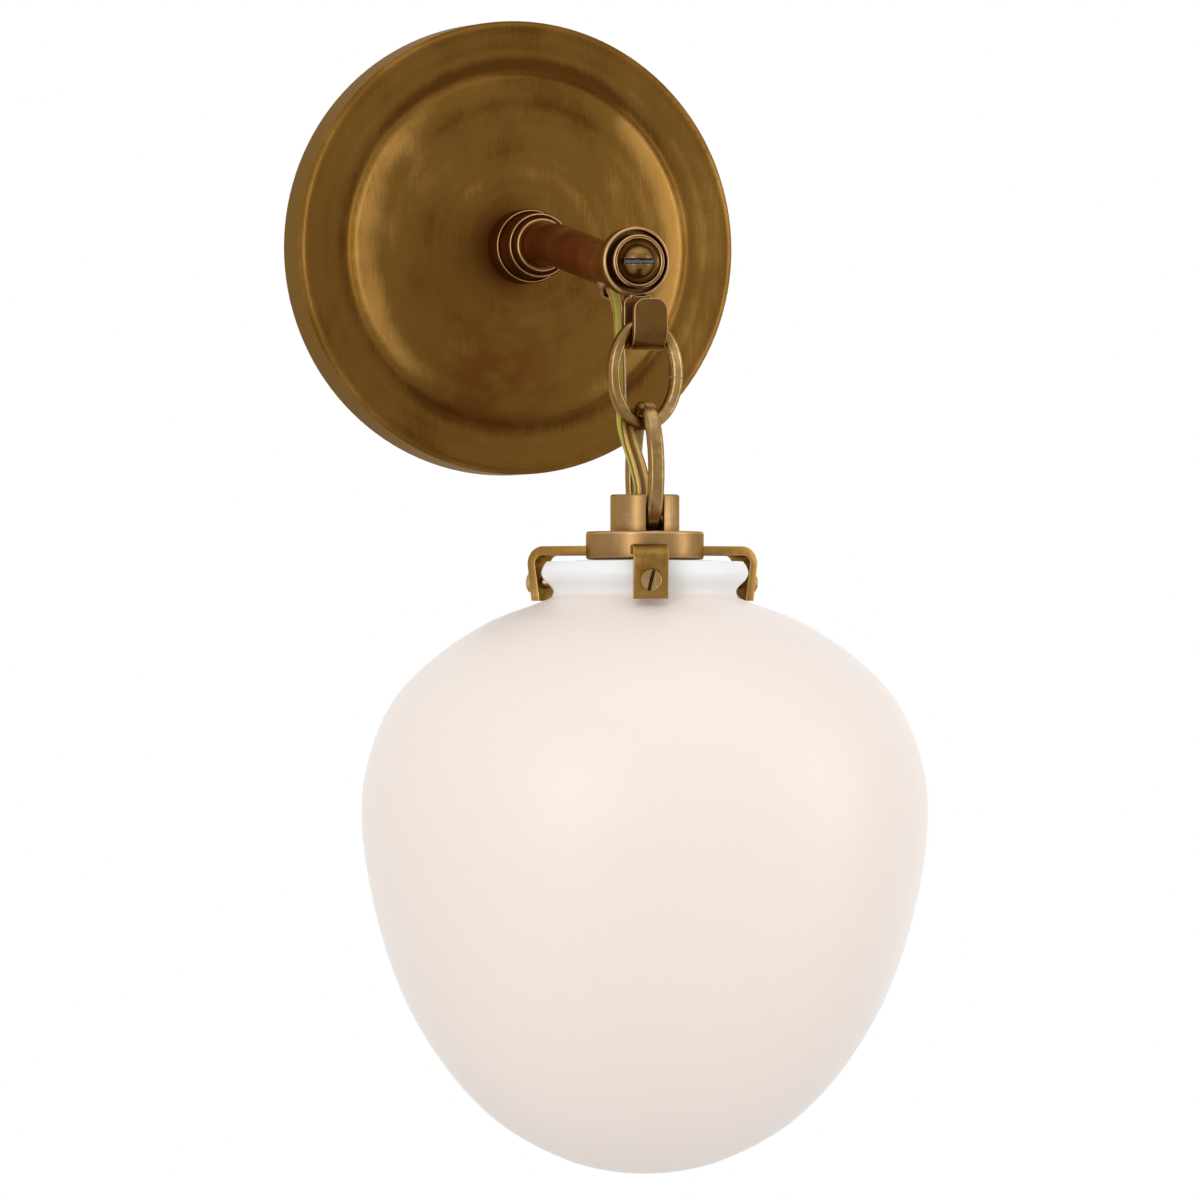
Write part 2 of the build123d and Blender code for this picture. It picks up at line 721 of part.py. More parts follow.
def make_screw_shell():
    """Thin drawn shell, closed at the top but for the contact's hole."""
    top = shell_top_height
    low = top - shell_length
    hole = contact_radius + contact_gap
    outline = [(hole, top), (shell_radius, top), (shell_radius, low), (shell_radius - shell_wall, low),
               (shell_radius - shell_wall, top - shell_wall), (hole, top - shell_wall)]
    shell = turned_about_z(outline)
    for x in terminal_places:
        shell -= rod_z(terminal_shank_radius + fit_gap, top - 1, top + 1, x=x, depth=terminal_depth)
    return shell


def make_centre_contact():
    return rod_z(contact_radius, shell_top_height - contact_thickness, shell_top_height)


def make_terminal_screws():
    """Two slotted screws that stand on the deck of the wiring chamber."""
    screws = []
    low = chamber_floor_height
    top = low + terminal_height
    for x in terminal_places:
        head = rod_z(terminal_radius, low, top, x=x, depth=terminal_depth)
        shank = rod_z(terminal_shank_radius, low - holder_deck, low, x=x, depth=terminal_depth)
        slot = block(x - terminal_radius, x + terminal_radius, terminal_depth - terminal_slot / 2,
                     terminal_depth + terminal_slot / 2, top - terminal_slot, top)
        screws.append(head + shank - slot)
    return Compound(screws)


def make_holder_screws():
    """Two screws, their heads sunk in the deck's underside, up into the fitter cap."""
    screws = []
    low = shell_top_height + running_gap
    seat = low + holder_screw_head_height
    top = fitter_bottom_height + holder_screw_grip - running_gap
    for depth in holder_screw_depths:
        head = rod_z(holder_screw_head_radius, low, seat, depth=depth)
        shank = rod_z(holder_screw_radius - fit_gap, seat, top, depth=depth)
        screws.append(head + shank)
    return Compound(screws)


lamp_base_top = shell_top_height - contact_thickness - running_gap
lamp_base_low = lamp_base_top - lamp_base_length
lamp_bottom = lamp_base_top - lamp_length


def bulb_outline(inset):
    """Half section of the bulb below its screw base, moved inwards by inset."""
    full = lamp_radius - inset
    cap = Line((0, lamp_base_low), (lamp_base_radius - inset, lamp_base_low))
    neck = Spline(cap @ 1, (full, holder_bottom_height - lamp_neck_drop), tangents=((0, -1), (0, -1)))
    side = Line(neck @ 1, (full, lamp_bottom + lamp_radius))
    end = JernArc(start=side @ 1, tangent=(0, -1), radius=full, arc_size=-90)
    closing = Line(end @ 1, cap @ 0)
    return make_face(Curve() + [cap, neck, side, end, closing])


def make_lamp():
    """Slim tubular bulb: contact tip, screw base, neck and a round-ended hollow glass."""
    tip = [(0, lamp_base_top), (contact_radius, lamp_base_top),
           (contact_radius + lamp_tip_flare, lamp_base_top - lamp_tip_height),
           (lamp_base_radius, lamp_base_top - lamp_taper), (lamp_base_radius, lamp_base_low),
           (0, lamp_base_low)]
    lamp = turned_about_z(tip)
    outside = revolve(Plane.XZ * bulb_outline(0), Axis.Z)
    inside = revolve(Plane.XZ * bulb_outline(lamp_wall), Axis.Z)
    return lamp + Pos(0, -axis_depth, 0) * (outside - inside)


# ================= cord and wires =================

def beyond(points, length):
    """Point further along a route's last run, for the next route to start straight."""
    return points[-1] + (points[-1] - points[-2]).normalized() * length


outlet_mouth = outlet_plane.offset(bushing_length / 2).origin
outlet_inside = outlet_mouth - outlet_plane.z_dir * outlet_run



def from_crossing(x, out, drop):
    """Point placed from where the links cross: to the side, out from the axis, and down."""
    return at(x, axis_depth + out, crossing_height - drop)


bend_middle_depth = (bend_start_depth + bend_end_depth) / 2
arm_route = (at(cord_start_x, cord_end_depth, 0), at(-6.4, cord_end_depth, 0),
             at(0, nipple_start, 0), at(0, nipple_start + 16, 0.3), at(0, bend_start_depth - 2, 0),
             at(0, bend_middle_depth - 1, -arm_drop / 2 + 0.2), at(0, bend_end_depth - 12, -arm_drop + 2.4),
             outlet_inside, outlet_mouth)
upper_route = (outlet_mouth, beyond(arm_route, 7.8), from_crossing(-2.2, -17.4, -21.5),
               from_crossing(-3.4, -11.8, -13.1), from_crossing(-4.4, -8.4, -4.7))
lower_route = (upper_route[-1], beyond(upper_route, 8.5), from_crossing(-4.0, -0.1, 11.3),
               from_crossing(-2.4, 3.0, 18.9), from_crossing(-1.4, 4.0, 25.5),
               from_crossing(-4.2, 4.3, 32.1), from_crossing(-4.4, 4.2, 36.6))
inner_route = (lower_route[-1], beyond(lower_route, 2.6), from_crossing(-4.45, 3.75, 41.6))


def make_supply_leads():
    """Two leads from the cord's end to the wire connectors, behind the plate."""
    leads = []
    for side in (1, -1):
        route = (at(cord_start_x, cord_end_depth, side * lead_start),
                 at(cord_start_x - 4.5, cord_end_depth, side * lead_start),
                 at(connector_x, connector_depth, side * 5.0),
                 at(connector_x, connector_depth, side * connector_start))
        leads.append(cord_tube(route, lead_radius, "supply_lead"))
    return Compound(leads)


def make_wire_connectors():
    """Two ribbed cones that join the leads to the house wiring."""
    cones = []
    for side in (1, -1):
        base = Plane(origin=at(connector_x, connector_depth, side * connector_start),
                     z_dir=(0, 0, side))
        skirt = extrude(base * Circle(connector_radius), connector_length * 0.3)
        tip_plane = base.offset(connector_length)
        cone = loft([base.offset(connector_length * 0.3) * Circle(connector_radius * 0.92),
                     tip_plane * Circle(connector_radius * 0.55)])
        cones.append(skirt + cone)
    return Compound(cones)


def make_ground_lead():
    """From the side of the ground screw's head to the back of the lock washer."""
    start = ground_head_radius + fit_gap
    level = bar_thickness + ground_head_height / 2 + 0.2
    height = ground_screw_height
    seat = inner_face_depth - washer_thickness
    route = (at(start, level, height), at(start + 5.5, level, height), at(15.2, 5.6, 14.2),
             at(14.0, 9.0, 6.0), at(10.8, 12.9, 1.6), at(10.8, seat, 1.6))
    return cord_tube(route, lead_radius, "ground_lead")


def make_holder_leads():
    """Two short leads from the cord's end to the sides of the terminal screws' heads."""
    level = chamber_floor_height + terminal_height / 2
    straight = beyond(inner_route, 3.95) - inner_route[-1]
    along = straight.normalized()
    across = (Vector(1, 0, 0) - along * along.X).normalized()
    reach = terminal_radius + fit_gap
    leads = []
    elbows = (at(0.2, axis_depth - 1.2, level), at(-6.0, axis_depth - 0.3, level))
    for x, elbow in zip(terminal_places, elbows):
        start = inner_route[-1] + across * (lead_start if x > 0 else -lead_start)
        screw = at(x, terminal_depth, level)
        end = screw + (elbow - screw).normalized() * reach
        leads.append(cord_tube((start, start + straight, elbow, end), holder_lead_radius, "holder_lead"))
    return Compound(leads)


# ================= every piece, one file each =================

save(make_backplate(), "backplate")
save(make_mounting_bar(), "mounting_bar")
save(make_set_screws(), "plate_set_screws")
save(make_ground_screw(), "ground_screw")
save(make_ground_lead(), "ground_lead")
save(make_lock_washer(), "lock_washer")
save(make_lock_nut(), "lock_nut")
save(make_arm_nipple(), "arm_nipple")
save(make_arm_collar(), "arm_collar")
save(make_arm_tube(), "arm_tube")
save(make_outlet_bushing(), "outlet_bushing")
save(make_arm_cup(), "arm_cup")
save(make_arm_cap(), "arm_cap")
save(make_cap_screw(), "cap_screw")
save(make_arm_end_plug(), "arm_end_plug")
save(make_hook(), "hook")
save(cord_tube(arm_route, cord_radius, "cord_in_arm"), "cord_in_arm")
save(make_supply_leads(), "supply_leads")
save(make_wire_connectors(), "wire_connectors")
save(cord_tube(upper_route, cord_radius, "cord_upper"), "cord_upper")
save(make_upper_link(), "upper_link")
save(cord_tube(lower_route, cord_radius, "cord_lower"), "cord_lower")
save(make_lower_link(), "lower_link")
save(make_loop_plug(), "loop_plug")
save(make_plug_pin(), "plug_pin")
save(make_fitter_cap(), "fitter_cap")
claw = make_claw()
clamp_screw = make_clamp_screw()
for index, place in enumerate(("front", "left", "right")):
    save(around(claw, index), "claw_" + place)
    save(around(clamp_screw, index), "clamp_screw_" + place)
save(make_shade(), "shade")
save(make_lampholder(), "lampholder")
save(make_screw_shell(), "screw_shell")
save(make_centre_contact(), "centre_contact")
save(make_terminal_screws(), "terminal_screws")
save(make_holder_screws(), "holder_screws")
save(make_holder_leads(), "holder_leads")
save(cord_tube(inner_route, cord_radius, "cord_in_fitter"), "cord_in_fitter")
save(make_lamp(), "lamp")
print(len(written), "pieces written")
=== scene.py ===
import json
from math import acos, cos, radians, sin

import bmesh
import bpy
from bpy.props import FloatProperty, FloatVectorProperty, PointerProperty
from mathutils import Matrix, Vector


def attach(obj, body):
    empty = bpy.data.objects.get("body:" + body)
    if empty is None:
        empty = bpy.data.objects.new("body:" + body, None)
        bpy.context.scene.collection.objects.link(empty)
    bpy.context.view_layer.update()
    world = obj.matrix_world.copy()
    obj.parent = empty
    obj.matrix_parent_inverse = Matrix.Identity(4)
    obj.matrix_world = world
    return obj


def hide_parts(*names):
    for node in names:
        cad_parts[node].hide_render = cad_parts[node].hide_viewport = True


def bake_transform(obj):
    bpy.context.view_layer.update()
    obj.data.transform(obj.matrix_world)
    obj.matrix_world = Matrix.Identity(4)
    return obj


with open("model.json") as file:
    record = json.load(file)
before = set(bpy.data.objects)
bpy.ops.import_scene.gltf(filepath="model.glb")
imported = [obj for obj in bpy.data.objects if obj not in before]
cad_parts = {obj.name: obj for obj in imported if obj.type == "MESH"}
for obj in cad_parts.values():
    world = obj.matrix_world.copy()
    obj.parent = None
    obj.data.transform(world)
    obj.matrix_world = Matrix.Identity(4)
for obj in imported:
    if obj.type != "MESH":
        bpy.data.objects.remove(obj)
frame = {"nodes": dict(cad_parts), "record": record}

bl_info = {
    "name": "Pendant Wall Sconce",
    "version": (1, 0, 0),
    "blender": (4, 5, 0),
    "location": "View3D > Sidebar > Sconce",
    "description": "Dresses a hanging pendant wall sconce with antique brass, opal glass and cord",
    "category": "Object",
}

# Places and widths are in metres. Y is the depth, negative in front of the wall; Z is the height.
AXIS_DEPTH = 0.138                # wall to the pendant's vertical axis

# Brass
GRAIN_STRETCH = 30.0              # length of a brushed scratch over its width
GLANCING_TINT = (0.80, 0.62, 0.42)  # metal seen at a grazing angle
BROWNED_AND_SHADED = (0.52, 0.42, 0.40)      # a brass's hue times this where it is brown, and on the plate where shade is painted
RUBBED_AND_LIT = (2.3, 2.5, 3.4)          # and times this where it is rubbed, and on the plate where highlights are painted
BRASS_RELIEF = 0.00002            # height of the brushed grain
PLATE_SIDE = (-0.0150, -0.0120)   # depths between which the plate's face turns to its side wall
ARM_REFLECTION_PLACE = (-0.008, -0.039)    # middle of the painted reflection of the arm, low on the plate
ARM_REFLECTION_REACH = (0.024, 0.004)      # distances from it where that painted reflection starts and is full
ARM_REFLECTION_TINT = (0.49, 0.42, 0.23)      # the arm's hue times this, for the painted reflection and shadow on the plate

# Screws
CAP_SLOT_HEIGHT = -0.0076         # middle of the cap screw's slot
CAP_SLOT_HALF = 0.00098           # half of its width
CAP_STEEL_HEIGHT = -0.0077        # middle of the blued steel in that slot
CAP_STEEL_HALF = 0.00080          # half of its width
CAP_STEEL_ENDS = (0.0046, 0.0041)  # distances from the middle between which it fades in
CLAMP_HEIGHT = -0.0997            # the clamp screws' axes
CLAMP_SLOT_LEAN = radians(-14.0)  # of their slots, from upright
CLAMP_SLOT_HALF = 0.00064         # half of their width
CLAMP_TURNS = {"front": radians(-15.0), "left": radians(-135.0), "right": radians(-255.0)}
SCREW_EDGE_SHARE = 0.6            # width of a screw's paler edge (rubbed wear and painted highlight) over that of the other pieces

# Rounded copies of the CAD pieces
WELD_GAP = 0.000002               # corners nearer than this are one
FLAT_ANGLE = radians(0.5)         # faces that meet at less than this are one

# Cord: across it, places are parts of its half width
CORE_PLACE = 0.5                  # middle of a core
CORE_HALF = 0.32                  # half of a core's width
JACKET_RIM = (0.84, 0.93)         # where the jacket's thick edge starts and is full
STRAND_PITCH = 2600.0             # radians of strand pattern per metre along the cord
STRAND_SLANT = 22.0               # and per half width across it

# The cord hangs in two stretches, which meet at the crossing.
CROSSING = (-0.0044, -0.1296, -0.045)
UPPER_ROUTE = (
    (0.0, -0.107185, -0.015314), (0.0, -0.113160, -0.020328), (-0.0022, -0.1206, -0.0282),
    (-0.0034, -0.1262, -0.0366), CROSSING)
LOWER_ROUTE = (
    CROSSING, (-0.005332, -0.13277, -0.052832), (-0.0040, -0.1379, -0.0610),
    (-0.0024, -0.1410, -0.0686), (-0.0014, -0.1420, -0.0752), (-0.0042, -0.1423, -0.0818),
    (-0.0044, -0.1422, -0.0856))
# Turn of the cord's flat in degrees, at parts of a stretch's length.
UPPER_TWISTS = ((0.0, 108.0), (1.0, 112.0))
LOWER_TWISTS = ((0.0, 112.0), (0.45, 185.0), (1.0, 190.0))

# Half outlines of the glass as (radius, height), from the top down.
LIP_OUTLINE = (
    (0.0282, -0.0939), (0.0291, -0.0953), (0.02966, -0.0972), (0.0289, -0.0991),
    (0.0270, -0.1010), (0.0262, -0.1024), (0.0268, -0.1040), (0.0289, -0.1051),
    (0.0315, -0.1061))
BODY_OUTLINE = (
    (0.0440, -0.1109), (0.0590, -0.1204), (0.0718, -0.1333), (0.0792, -0.1505),
    (0.0812, -0.1675), (0.0769, -0.1955), (0.0689, -0.2190), (0.0587, -0.2365),
    (0.0486, -0.2486), (0.0372, -0.2579), (0.0205, -0.2660), (0.0080, -0.2688),
    (0.0, -0.2693))
GLASS_FOOT = (-0.215, -0.262)     # heights between which the glass is painted a little darker, as painted shade towards its foot
GLASS_FOOT_SHADE = (0.955, 0.95, 0.965)

# Stage
CAMERA_TURN = radians(-17.78)     # from square to the wall, towards the left
CAMERA_RISE = radians(-0.68)      # below level, so that the camera looks slightly upwards
CAMERA_DISTANCE = 4.826
CAMERA_AIM = (0.02929, -0.10333)  # right of the plate's centre and below it
CAMERA_LENS = 491.2               # millimetres, on a sensor 36 wide
FLOOR_HEIGHT = -1.2
FLOOR_SIZE = 6.0
WORLD_LEVEL = 0.72                # brightness of the light from all around
LIGHT_AIM = (0.0, -0.1, -0.1)     # the place that every light faces
# Name, place, width and height, and power in watts.
LIGHTS = (
    ("left_strip", (-1.9, -2.0, 0.2), (0.9, 2.0), 21.0),
    ("right_strip", (2.1, -1.2, 0.1), (0.7, 2.0), 13.0),
    ("top", (0.1, -0.9, 2.2), (2.2, 1.6), 9.0))


def length(name, description, default):
    """A length property, in metres."""
    return FloatProperty(name=name, description=description, default=default, unit="LENGTH",
                         subtype="DISTANCE", precision=5)


def colour(name, description, default):
    """A colour property, scene linear."""
    return FloatVectorProperty(name=name, description=description, default=default, size=3,
                               subtype="COLOR", min=0.0, max=1.0)


class SconceSizes(bpy.types.PropertyGroup):
    """Sizes of the pieces that are modelled here, and of the marks in the finishes."""
    cord_width: length("Cord Width", "Width of the flat two-core cord", 0.0050)
    cord_thickness: length("Cord Thickness", "Thickness of the flat two-core cord", 0.0027)
    glass_wall: length("Glass Wall", "Thickness of the opal glass", 0.003)
    lip_line: length("Lip Line", "Height where the glass's whiter lip meets its body", -0.1018)
    lip_round: length("Lip Rounding", "Rounding of the lip's ground edge", 0.0006)
    shoulder_radius: length("Shoulder Radius", "Edge of the plate's raised middle", 0.0488)
    # The belt inside the shoulder is a painted highlight.
    belt_radius: length("Belt Radius", "Middle of the rubbed belt just inside the shoulder", 0.0455)
    cove_radius: length("Cove Radius", "Foot of the plate's raised middle", 0.0534)
    rim_radius: length("Rim Radius", "Edge of the plate's face", 0.0665)
    collar_radius: length("Collar Radius", "Foot of the arm's collar on the plate", 0.0112)
    worn_edge: length("Worn Edge", "Width of the rubbed edges", 0.00022)
    grain: length("Grain", "Spacing of the brushed grain", 0.00045)
    patch: length("Patch", "Size of the darker patches on the brass", 0.020)
    ring: length("Ring", "Width of the soft rings on the plate", 0.0065)


class SconceColours(bpy.types.PropertyGroup):
    """Colours of the finishes, scene linear."""
    plate_brass: colour("Plate Brass", "Antique brass of the plate", (0.150, 0.073, 0.0135))
    # Side Brass paints shade onto the plate's side wall: darker and greyer.
    side_wall_shade_brass: colour("Side Brass", "Greyer brass of the plate's side wall", (0.150, 0.090, 0.045))
    tube_brass: colour("Tube Brass", "Reddish brown brass of the arm", (0.215, 0.076, 0.028))
    collar_brass: colour("Collar Brass", "Brown brass of the collar", (0.135, 0.056, 0.014))
    strap_brass: colour("Strap Brass", "Brown brass of the cup and hook", (0.127, 0.064, 0.017))
    link_brass: colour("Link Brass", "Brass of the chain links", (0.230, 0.138, 0.048))
    claw_brass: colour("Claw Brass", "Yellower brass of the claws", (0.255, 0.142, 0.034))
    fitter_brass: colour("Fitter Brass", "Lighter brass of the plug and fitter", (0.285, 0.168, 0.066))
    # Worn Brass is partly rubbed wear and partly a painted highlight on the rounded edges.
    rubbed_and_highlight_brass: colour("Worn Brass", "Pinkish brass on rubbed edges", (0.50, 0.30, 0.145))
    bright_brass: colour("Bright Brass", "Lampholder's contacts", (0.75, 0.52, 0.20))
    steel: colour("Steel", "Blued steel in the cap screw's slot", (0.095, 0.118, 0.125))
    # Painted shade in the cap screw's slot.
    cap_slot_shade: colour("Slot Dirt", "Dirt in the cap screw's slot", (0.020, 0.015, 0.010))
    # Painted shade in the clamp screws' slots.
    clamp_slot_shade: colour("Clamp Dirt", "Dirt in the clamp screws' slots", (0.030, 0.017, 0.007))
    zinc: colour("Zinc", "Plated steel behind the plate", (0.52, 0.52, 0.50))
    glass: colour("Opal Glass", "Body of the opal glass", (0.86, 0.765, 0.70))
    glass_lip: colour("Glass Lip", "Whiter lip of the glass", (0.835, 0.835, 0.835))
    cord_core: colour("Cord Core", "Copper strands in the clear jacket", (0.76, 0.48, 0.135))
    cord_web: colour("Cord Web", "Clear jacket between the cores", (0.17, 0.095, 0.016))
    cord_rim: colour("Cord Rim", "Thick edge of the clear jacket", (0.42, 0.36, 0.05))
    lead: colour("Lead", "Hidden leads", (0.62, 0.36, 0.12))
    connector: colour("Connector", "Wire connectors", (0.62, 0.16, 0.03))
    porcelain: colour("Porcelain", "Lampholder", (0.80, 0.77, 0.72))
    lamp: colour("Lamp", "Frosted lamp", (0.88, 0.87, 0.85))
    floor: colour("Floor", "Plain pale floor", (0.85, 0.85, 0.85))


# ---- shader helpers ----

class Value:
    """A number in a node tree, with the usual operators."""

    def __init__(self, owner, socket):
        self.owner = owner
        self.socket = socket

    def maths(self, operation, *values):
        node = self.owner.node("ShaderNodeMath", {"operation": operation}, dict(enumerate(values)))
        return Value(self.owner, node.outputs[0])

    def __add__(self, other):
        return self.maths("ADD", self, other)

    def __radd__(self, other):
        return self.maths("ADD", other, self)

    def __sub__(self, other):
        return self.maths("SUBTRACT", self, other)

    def __rsub__(self, other):
        return self.maths("SUBTRACT", other, self)

    def __mul__(self, other):
        return self.maths("MULTIPLY", self, other)

    def __rmul__(self, other):
        return self.maths("MULTIPLY", other, self)

    def __abs__(self):
        return self.maths("ABSOLUTE", self)

    def sine(self):
        return self.maths("SINE", self)

    def root(self):
        return self.maths("SQRT", self)

    def least(self, other):
        return self.maths("MINIMUM", self, other)

    def step(self, low, high):
        """0 at low, 1 at high, smooth between; low may be the larger."""
        rising = low < high
        node = self.owner.node("ShaderNodeMapRange", {"interpolation_type": "SMOOTHSTEP"}, {
            "Value": self, "From Min": min(low, high), "From Max": max(low, high),
            "To Min": 0.0 if rising else 1.0, "To Max": 1.0 if rising else 0.0})
        return Value(self.owner, node.outputs["Result"])

    def band(self, middle, half):
        """1 at middle, falling smoothly to 0 at half away from it."""
        return abs(self - middle).step(half, 0.0)


class Nodes:
    """A node tree, and the one way in which nodes are added to it."""

    def __init__(self, tree):
        self.tree = tree

    def node(self, kind, settings=None, sockets=None):
        """Add a node, make its settings, then give its sockets values or links."""
        node = self.tree.nodes.new(kind)
        for key, value in (settings or {}).items():
            setattr(node, key, value)
        for key, value in (sockets or {}).items():
            self.feed(node.inputs[key], value)
        return node

    def feed(self, slot, value):
        """Link a value or a socket to a socket, or set a constant on it."""
        if isinstance(value, Value):
            value = value.socket
        if isinstance(value, bpy.types.NodeSocket):
            self.tree.links.new(value, slot)
        elif slot.type == "RGBA" and len(value) == 3:
            slot.default_value = (*value, 1.0)
        else:
            slot.default_value = value


class Finish(Nodes):
    """A material's node tree with its surface shader."""

    def __init__(self, name, roughness=0.4, metallic=0.0):
        self.material = bpy.data.materials.new(name)
        self.material.use_nodes = True
        super().__init__(self.material.node_tree)
        self.surface = self.tree.nodes["Principled BSDF"]
        self.set(Roughness=roughness, Metallic=metallic)
        if metallic == 1.0:
            self.set(Specular_Tint=GLANCING_TINT)
        self.place = self.node("ShaderNodeTexCoord").outputs["Object"]

    def set(self, **values):
        """Feed the surface shader's sockets, named with _ for a space."""
        for key, value in values.items():
            self.feed(self.surface.inputs[key.replace("_", " ")], value)

    def split(self, vector):
        """X, Y and Z of a vector as values."""
        node = self.node("ShaderNodeSeparateXYZ", sockets={0: vector})
        return [Value(self, output) for output in node.outputs]

    def join(self, x, y, z):
        """A vector from three values."""
        return self.node("ShaderNodeCombineXYZ", sockets={0: x, 1: y, 2: z}).outputs[0]

    def noise(self, size, detail=3.0, at=None, stretch=(1.0, 1.0, 1.0), rough=0.55):
        """Noise from 0 to 1 with features about size metres wide, longer along an axis by stretch."""
        scale = [1.0 / (size * factor) for factor in stretch]
        place = self.node("ShaderNodeMapping", sockets={"Vector": at or self.place, "Scale": scale})
        texture = self.node("ShaderNodeTexNoise", sockets={
            "Vector": place.outputs[0], "Scale": 1.0, "Detail": detail, "Roughness": rough})
        return Value(self, texture.outputs["Fac"])

    def mix(self, amount, first, second):
        """The first colour at amount 0 and the second at 1."""
        node = self.node("ShaderNodeMix", {"data_type": "RGBA"}, {0: amount, 6: first, 7: second})
        return node.outputs[2]

    def painted(self):
        """What feeds the base colour so far."""
        return self.surface.inputs["Base Color"].links[0].from_socket

    def bump(self, height, distance, strength=1.0):
        """Relief of distance metres between height 0 and 1."""
        node = self.node("ShaderNodeBump", sockets={
            "Height": height, "Distance": distance, "Strength": strength})
        self.set(Normal=node.outputs[0])


def scaled(hue, factors):
    """A colour with each channel multiplied."""
    return [min(channel * factor, 1.0) for channel, factor in zip(hue, factors)]


def toned(finish, hue, tone):
    """Brown at tone 0, the hue itself at 0.5 and paler rubbed brass at 1; on the plate, tone also
    carries painted shade and highlights.
    """
    base = finish.mix(tone.step(0.0, 0.5), scaled(hue, BROWNED_AND_SHADED), hue)
    return finish.mix(tone.step(0.5, 1.1), base, scaled(hue, RUBBED_AND_LIT))


def brass(context, name, hue, grain_axis=2, light=0.0, contrast=1.0, rough=0.40):
    """Hand-rubbed antique brass: fine grain along an axis, brown patches and paler rubbed places.

    Light makes it paler, contrast strengthens the patches and rough is its middle roughness.
    """
    sizes = context.scene.sconce_sizes
    finish = Finish(name, metallic=1.0)
    stretch = [1.0, 1.0, 1.0]
    stretch[grain_axis] = GRAIN_STRETCH
    grain = finish.noise(sizes.grain, 2.0, stretch=stretch)
    mottle = finish.noise(sizes.patch, 3.0)
    fine = finish.noise(sizes.patch / 9, 3.0)
    patches = ((mottle - 0.5) * 1.1 + (fine - 0.5) * 0.3) * contrast
    tone = patches + (grain - 0.5) * 0.25 + (0.5 + light)
    finish.set(Base_Color=toned(finish, hue, tone),
               Roughness=(grain - 0.5) * 0.15 + (mottle - 0.5) * 0.15 + rough)
    finish.bump(grain + fine * 0.4, BRASS_RELIEF, 0.4)
    return finish


def plate_tone_and_light(finish, sizes, grain, mottle, speck):
    """Tone of the plate: mottling and soft rings, with painted shade in the cove and at the top
    middle, and painted highlights on the shoulder at the sides, the belt inside it, the rim and the
    right side.
    """
    x, depth, height = finish.split(finish.place)
    radius = (x * x + height * height).root()
    # aside and right mask painted highlights at the sides and on the right; top masks painted shade at
    # the top.
    aside = abs(x).step(0.012, 0.044)
    right = x.step(0.030, 0.062)
    top = height.step(0.020, 0.046)
    shoulder = radius.band(sizes.shoulder_radius, 0.0050)
    belt_highlight = radius.band(sizes.belt_radius, 0.0125)
    cove_shade = radius.band(sizes.cove_radius, 0.0040)
    rim_highlight = radius.step(sizes.rim_radius - 0.0025, sizes.rim_radius)
    rings = finish.noise(sizes.ring, 2.0, at=finish.join(radius, mottle * 0.004, 0.0))
    tone = (mottle - 0.5) * 1.0 + (rings - 0.5) * 0.75 + (grain - 0.5) * 0.32 + (speck - 0.5) * 0.16
    # Painted highlights on the shoulder, the belt, the right side and the rim; painted shade in the
    # cove, deeper at the top, and at the top middle.
    tone = tone + shoulder * (aside * 0.24)
    tone = tone - cove_shade * (0.50 - aside * 0.10 + height.step(0.0, 0.04) * 0.14)
    tone = tone + aside * belt_highlight * 0.26 + right * 0.22
    tone = tone + rim_highlight * 0.24 - top * (1.0 - aside) * 0.12
    # Painted shade: the side wall is darker.
    return tone - side_wall(depth) * 0.30 + 0.47


def side_wall(depth):
    """1 on the plate's side wall, 0 on its face."""
    return depth.step(*PLATE_SIDE)


def plate_painted_reflection_and_shadow(finish, sizes):
    """Painted reflection of the reddish arm low on the plate's middle, and a painted shadow to the
    left of the collar.
    """
    x, _, height = finish.split(finish.place)
    radius = (x * x + height * height).root()
    cloud = finish.noise(0.010, 3.0, at=finish.join(x, height, 0.03))
    aside = x - ARM_REFLECTION_PLACE[0]
    above = height - ARM_REFLECTION_PLACE[1]
    arm_reflection = (aside * aside + above * above * 0.7).root().step(*ARM_REFLECTION_REACH)
    # Painted shadow to the left of the collar.
    collar = radius.step(sizes.collar_radius + 0.0078, sizes.collar_radius) * x.step(0.010, -0.008)
    return arm_reflection * cloud.step(0.30, 0.62) * 0.7 + collar * 0.6


def plate_brass(context):
    """The plate's brushed antique brass, with painted shade, highlights and reflections."""
    hues = context.scene.sconce_colours
    sizes = context.scene.sconce_sizes
    finish = Finish("plate_brass_finish", metallic=1.0)
    grain = finish.noise(sizes.grain, 2.0, stretch=(1.0, 1.0, 25.0))
    mottle = finish.noise(sizes.patch, 2.5, stretch=(1.0, 1.0, 1.3))
    speck = finish.noise(0.0012, 3.0)
    base = toned(finish, hues.plate_brass, plate_tone_and_light(finish, sizes, grain, mottle, speck))
    depth = finish.split(finish.place)[1]
    # Painted shade on the side wall, darker and greyer.
    base = finish.mix(side_wall(depth) * 0.6, base, hues.side_wall_shade_brass)
    # Painted reflection and shadow in the arm's reddish hue.
    reflected_arm = scaled(hues.tube_brass, ARM_REFLECTION_TINT)
    base = finish.mix(plate_painted_reflection_and_shadow(finish, sizes), base, reflected_arm)
    finish.set(Base_Color=base, Roughness=(grain - 0.5) * 0.12 + (mottle - 0.5) * 0.16 + 0.42)
    finish.bump(grain + speck * 0.6, BRASS_RELIEF, 0.35)
    return finish.material


